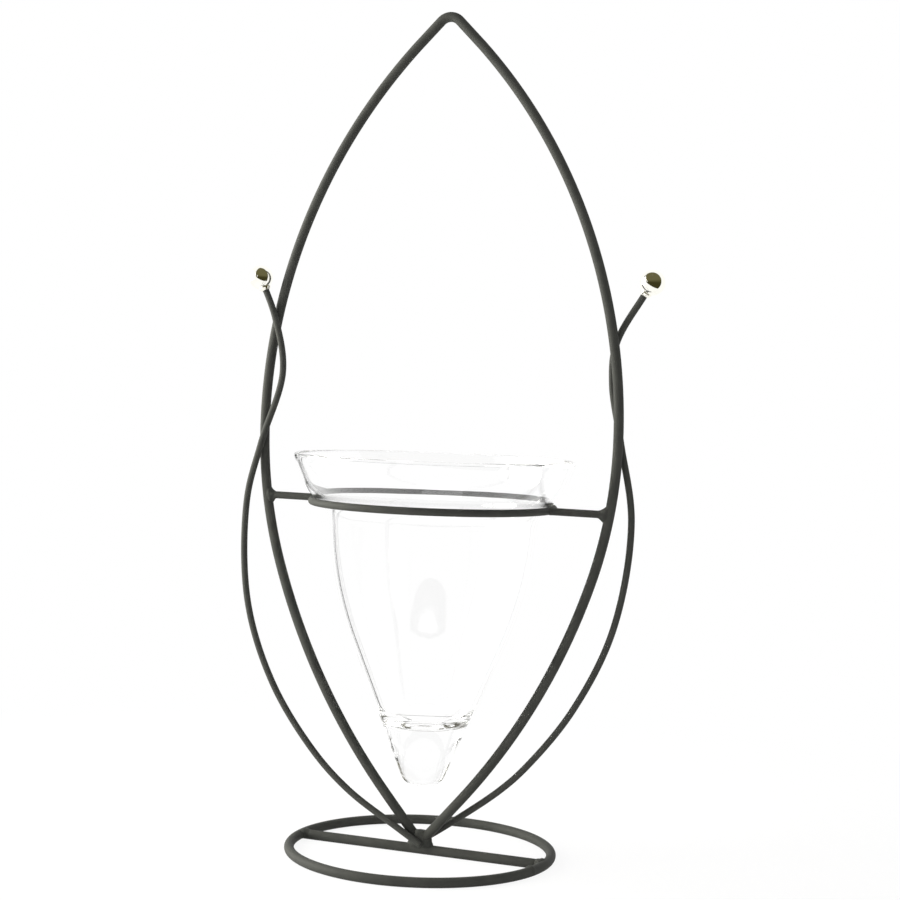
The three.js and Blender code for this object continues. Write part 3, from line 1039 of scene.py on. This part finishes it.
@dataclass
class GlassVase:
    """The drop-shaped glass with its thick foot and flared lip, hung in the holder's ring."""

    holder: VaseHolder
    seat_gap: float = 0.3 * MM
    neck_play: float = 9 * MM
    lip_overhang: float = 4.2 * MM
    rim_flare: float = 8.2 * MM
    rim_rise: float = 28.7 * MM
    lip_bend: float = 7 * MM
    wall: float = 3 * MM
    foot_z: float = 45.8 * MM
    foot_r: float = 12 * MM
    foot_bend: float = 6 * MM
    cone_length: float = 100 * MM
    solid_foot: float = 38.5 * MM
    floor_bend: float = 15 * MM
    bend_steps: int = 14
    cone_steps: int = 16
    body_steps: int = 26
    rim_steps: int = 8
    bowl_steps: int = 20
    flat_steps: int = 4
    turn_steps: int = 192

    def outside(self) -> tuple[list[Vector], Vector]:
        """Draws the outside from the foot's centre up to the rim, with z = 0 at the ring.

        Returns:
            The points, and the direction of the cone.
        """
        ring_r, ring_rod_r = self.holder.ring_r, self.holder.rod_r
        foot_z = self.foot_z - self.holder.ring_z
        neck_r = ring_r - ring_rod_r - self.neck_play
        lip_r = ring_r + self.lip_overhang
        seat = ring_r - math.sqrt(2) * (ring_rod_r + self.seat_gap)
        body = ArcIntoStraight.fitted(neck_r - self.foot_r, lambda _: -foot_z, self.cone_length)
        cone = at(math.sin(body.angle), math.cos(body.angle))
        foot = at(self.foot_r, foot_z)
        neck = at(neck_r, neck_r - seat)
        lip = at(lip_r, lip_r - seat)
        neck_angle = math.asin((neck.z - self.lip_bend) / body.radius)
        on_seat = at(1, 1).normalized()
        rim = at(lip_r + self.rim_flare, self.rim_rise)
        up_lip = (rim - lip).normalized()
        bend = self.bend_steps
        points = [at(0, foot_z)]
        flat_end = at(self.foot_r - self.foot_bend, foot_z)
        points += corner_curve(flat_end, foot, foot + cone * self.foot_bend, bend)
        run = self.cone_length - self.foot_bend
        for i in range(1, self.cone_steps + 1):
            points.append(foot + cone * (self.foot_bend + run * i / self.cone_steps))
        for i in range(1, self.body_steps + 1):
            angle = -body.angle + (neck_angle + body.angle) * i / self.body_steps
            x = neck_r - body.radius * (1 - math.cos(angle))
            points.append(at(x, body.radius * math.sin(angle)))
        points += corner_curve(points[-1], neck, neck + on_seat * self.lip_bend, bend)[1:]
        points += corner_curve(lip - on_seat * self.lip_bend, lip, lip + up_lip * self.lip_bend, bend)
        reach = (rim - points[-1]).length / self.flat_steps
        points += [points[-1] + up_lip * (reach * i) for i in range(1, self.flat_steps + 1)]
        return points, cone

    def profile(self) -> list[Vector]:
        """Draws the whole section: up the outside, over the rim, down the inside and along the floor.

        Returns:
            The points, at the vase's own height.
        """
        outside, cone = self.outside()
        floor_z = self.foot_z - self.holder.ring_z + self.solid_foot
        inside = []
        for i, point in enumerate(outside):
            along = outside[min(i + 1, len(outside) - 1)] - outside[max(i - 1, 0)]
            inward = at(-along.z, along.x).normalized()
            inner = point + inward * self.wall
            if inner.z > floor_z + self.floor_bend:
                inside.append(inner)
        inside.reverse()
        wall_end = inside[-1]
        corner = wall_end + cone * ((floor_z - wall_end.z) / cone.z)
        floor_edge = at(corner.x - self.floor_bend, floor_z)
        top = (outside[-1] + inside[0]) / 2 + UP * self.wall / 2
        over = corner_curve(outside[-1], at(outside[-1].x, top.z), top, self.rim_steps)
        down = corner_curve(top, at(inside[0].x, top.z), inside[0], self.rim_steps)
        bowl = corner_curve(corner + cone * self.floor_bend, corner, floor_edge, self.bowl_steps)
        flat = even_steps(floor_edge, at(0, floor_z), self.flat_steps)
        points = outside + over[1:] + down[1:] + inside[1:] + bowl + flat
        return [point + UP * self.holder.ring_z for point in points]

    def build(self) -> None:
        """Builds the vase."""
        make_piece("glass_vase", turned_shape(self.profile(), self.turn_steps), VASE_GLASS, Body.VASE)


# Camera and stage


def facing(target: Triple, azimuth: float, elevation: float, distance: float) -> Matrix:
    """Place of a camera or lamp that faces a point.

    Args:
        target: The point.
        azimuth: Degrees to the right of the front.
        elevation: Degrees above the level.
        distance: Distance from the point.

    Returns:
        The place, upright.
    """
    turn = Matrix.Rotation(math.radians(azimuth), 4, "Z")
    rise = Matrix.Rotation(math.radians(90 - elevation), 4, "X")
    return Matrix.Translation(target) @ turn @ rise @ Matrix.Translation(UP * distance)


@dataclass(frozen=True)
class ViewingCamera:
    """Camera at the photograph's viewing angle, found from the wire's edges, with its turns in degrees."""

    azimuth: float = 20.97
    elevation: float = 1.88
    roll: float = 2.14
    distance: float = 1237.8 * MM
    focal_px: float = 1917.2
    picture_px: float = 900
    sensor_mm: float = 36
    target: Triple = (9.13 * MM, 3.5 * MM, 263.1 * MM)

    def build(self) -> None:
        """Builds the camera and looks through it."""
        data = bpy.data.cameras.new("viewing_camera")
        data.sensor_width = self.sensor_mm
        data.lens = self.focal_px / self.picture_px * self.sensor_mm
        data.clip_end = 50
        camera = bpy.data.objects.new("viewing_camera", data)
        upright = facing(self.target, self.azimuth, self.elevation, self.distance)
        camera.matrix_world = upright @ Matrix.Rotation(math.radians(self.roll), 4, "Z")
        bpy.context.scene.collection.objects.link(camera)
        bpy.context.scene.camera = camera


@dataclass(frozen=True)
class SoftBox:
    """A square area lamp that faces the middle of the object, with its turns in degrees."""

    name: str
    azimuth: float
    elevation: float
    distance: float
    size: float
    watts: float
    colour: Rgb = (1, 1, 1)
    middle: Triple = (0, 0, 0.27)

    def build(self) -> None:
        """Builds the lamp."""
        data = bpy.data.lights.new(self.name, "AREA")
        data.shape = "SQUARE"
        data.size = self.size
        data.energy = self.watts
        data.color = self.colour
        lamp = bpy.data.objects.new(self.name, data)
        lamp.matrix_world = facing(self.middle, self.azimuth, self.elevation, self.distance)
        bpy.context.scene.collection.objects.link(lamp)


@dataclass
class PaintedReflectionRoom:
    """Part of a dark, faintly glowing sphere on the camera's side: a painted reflection, a backdrop that
    only reflections show, which puts a dark olive patch in the balls and dark lines in the glass.

    The bounds, the rise and the hole for the glint are for a sphere of radius 1 and a camera in front. The
    hole is a
    painted glint: the white surroundings show through it as a highlight on the balls. Rays that passed
    through more glass surfaces than given, that were mirrored only once inside the glass, or that come from
    the middle of the vase's body, see past it.
    """

    azimuth: float
    middle: Triple = (0, 0, 0.37)
    radius: float = 0.55
    passes: int = 2
    # Painted reflection: the glow's colours low and high on the shell, which the balls mirror as a dark
    # olive patch.
    low: Rgb = (0.045, 0.04, 0.014)
    high: Rgb = (0.13, 0.118, 0.055)
    rise: Pair = (-0.073, 0.455)
    bounds: tuple[Triple, ...] = ((0.48, -0.58, 0.38), (-0.23, -0.92, 0.2), (0.5, -0.6, 1))
    # Painted glint: centre and radius of a hole in the shell, through which the white surroundings show as a
    # highlight on the balls.
    window: Triple = (-0.651, -0.731, 0.198)
    window_r: float = 0.091
    body_middle: Triple = (0, 0, 0.175)
    body_r: float = 0.078

    def build(self) -> None:
        """Builds the room."""
        mesh = bmesh.new()
        bmesh.ops.create_uvsphere(mesh, u_segments=64, v_segments=32, radius=1)
        for inward in self.bounds:
            everything = [*mesh.verts, *mesh.edges, *mesh.faces]
            bmesh.ops.bisect_plane(mesh, geom=everything, plane_no=inward, clear_inner=True)
        # Cuts the hole that paints a glint on the balls.
        glint_centre = Vector(self.window)
        window = [face for face in mesh.faces if (face.calc_center_median() - glint_centre).length < self.window_r]
        bmesh.ops.delete(mesh, geom=window, context="FACES")
        turn = Matrix.Rotation(math.radians(self.azimuth), 4, "Z")
        size = Matrix.Scale(self.radius, 4)
        bmesh.ops.transform(mesh, matrix=Matrix.Translation(self.middle) @ turn @ size, verts=mesh.verts)
        room = place_object("painted_reflection_room", mesh, self.material())
        room.visible_camera = room.visible_diffuse = room.visible_shadow = False

    def material(self) -> Material:
        """Builds the room's glow, a painted reflection that is paler higher up, and clear to the other rays.

        Returns:
            The material.
        """
        material, tree = new_material("painted_reflection_room")
        material.cycles.emission_sampling = "NONE"
        height = add_node(tree, "SeparateXYZ", {"Vector": object_place(tree)})["Z"]
        low, high = (self.middle[2] + self.radius * rise for rise in self.rise)
        # Painted reflection: the glow is darker low down and paler high up.
        painted_reflection_tone = mixed(tree, mapped(tree, height, (low, high)), opaque(self.low), opaque(self.high))
        glow = add_node(tree, "Emission", {"Color": painted_reflection_tone})["Emission"]
        clear = add_node(tree, "BsdfTransparent")["BSDF"]
        show_blend(tree, self.shown(tree), clear, glow)
        return material

    def shown(self, tree: NodeTree) -> NodeSocket:
        """Adds a mask of the rays that show the room.

        Args:
            tree: Tree that gets the nodes.

        Returns:
            1 for rays that a mirror or a glass surface turned, or that were turned twice inside the glass,
            except those from the middle of the vase's body.
        """
        path = add_node(tree, "LightPath")
        passes = path["Transmission Depth"]
        # The counts are whole, so each is compared with a half.
        shallow = calculated(tree, "LESS_THAN", passes, self.passes + 0.5)
        needed = calculated(tree, "ADD", calculated(tree, "GREATER_THAN", passes, 0.5), 0.5)
        turned = calculated(tree, "GREATER_THAN", path["Glossy Depth"], needed)
        hit = add_node(tree, "NewGeometry")
        way = {"Vector": hit["Incoming"], "Scale": path["Ray Length"]}
        back = add_node(tree, "VectorMath", way, operation="SCALE")["Vector"]
        start = add_node(tree, "VectorMath", {0: hit["Position"], 1: back}, operation="ADD")["Vector"]
        apart = add_node(tree, "VectorMath", {0: start, 1: self.body_middle}, operation="DISTANCE")["Value"]
        elsewhere = calculated(tree, "GREATER_THAN", apart, self.body_r)
        return calculated(tree, "MULTIPLY", calculated(tree, "MULTIPLY", shallow, turned), elsewhere)


@dataclass
class Studio:
    """White floor and surroundings, soft lamps, and a faintly glowing dark shell on the camera's side, a
    painted reflection that gloss shows.
    """

    camera_azimuth: float
    floor_r: float = 9.0
    floor_paint: Rgb = (0.94, 0.94, 0.94)
    floor_roughness: float = 0.9
    floor_glow: float = 0.9
    shadow_r: float = 0.2
    fade_r: float = 0.6
    surroundings: Rgb = (1, 1, 1)
    ambient: float = 0.62

    def build(self) -> None:
        """Builds the stage."""
        scene = bpy.context.scene
        scene.view_settings.view_transform = "Standard"
        scene.cycles.max_bounces = 160
        scene.cycles.glossy_bounces = 128
        scene.cycles.transmission_bounces = 128
        self.build_world()
        self.build_floor()
        az = self.camera_azimuth
        # Painted reflection: a glowing dark shell that only reflections show.
        PaintedReflectionRoom(az).build()
        warm = (1, 0.99, 0.92)
        SoftBox("left_softbox", az - 96, 10, distance=1.3, size=1.3, watts=50, colour=warm).build()
        SoftBox("top_softbox", az - 20, 74, distance=1.6, size=0.89, watts=2.5).build()

    def seen(self, tree: NodeTree) -> NodeSocket:
        """Adds a mask of the rays that show the background.

        Args:
            tree: Tree that gets the nodes.

        Returns:
            1 for camera, glossy and transmission rays, or else 0.
        """
        path = add_node(tree, "LightPath")
        glossy = calculated(tree, "MAXIMUM", path["Is Camera Ray"], path["Is Glossy Ray"])
        return calculated(tree, "MAXIMUM", glossy, path["Is Transmission Ray"])

    def build_world(self) -> None:
        """Builds the white surroundings, which light the object less than they show."""
        world = bpy.data.worlds.new("white_surroundings")
        world.use_nodes = True
        tree = world.node_tree
        level = add_node(tree, "MapRange", {"Value": self.seen(tree), "To Min": self.ambient})["Result"]
        fill_inputs(tree, tree.nodes["Background"], {"Color": opaque(self.surroundings), "Strength": level})
        bpy.context.scene.world = world

    def floor_material(self) -> Material:
        """Builds a white floor that keeps a shadow near the object and fades to plain white.

        Returns:
            The material.
        """
        material, tree = new_material("white_floor")
        paint = tree.nodes["Principled BSDF"]
        white = {"Base Color": opaque(self.floor_paint), "Roughness": self.floor_roughness}
        fill_inputs(tree, paint, {**white, "Specular IOR Level": 0.0})
        away = add_node(tree, "VectorMath", {0: object_place(tree)}, operation="LENGTH")["Value"]
        fade = mapped(tree, away, (self.shadow_r, self.fade_r), (self.floor_glow, 1.0))
        share = calculated(tree, "MULTIPLY", fade, self.seen(tree))
        glow = add_node(tree, "Emission")["Emission"]
        show_blend(tree, share, paint.outputs["BSDF"], glow)
        return material

    def build_floor(self) -> None:
        """Builds the floor."""
        mesh = bmesh.new()
        bmesh.ops.create_circle(mesh, cap_ends=True, segments=96, radius=self.floor_r)
        place_object("studio_floor", mesh, self.floor_material())


def main() -> None:
    """Builds the object, the stage and the camera."""
    logging.basicConfig(level=logging.INFO, format="%(message)s")
    line = FrameLine()
    holder = VaseHolder(line)
    camera = ViewingCamera()
    Base().build()
    PointedFrame(line).build()
    holder.build()
    Tendril(line, Side.LEFT, LEFT_BENDS).build()
    Tendril(line, Side.RIGHT, RIGHT_BENDS).build()
    GlassVase(holder).build()
    Studio(camera.azimuth).build()
    camera.build()


if __name__ == "__main__":
    main()
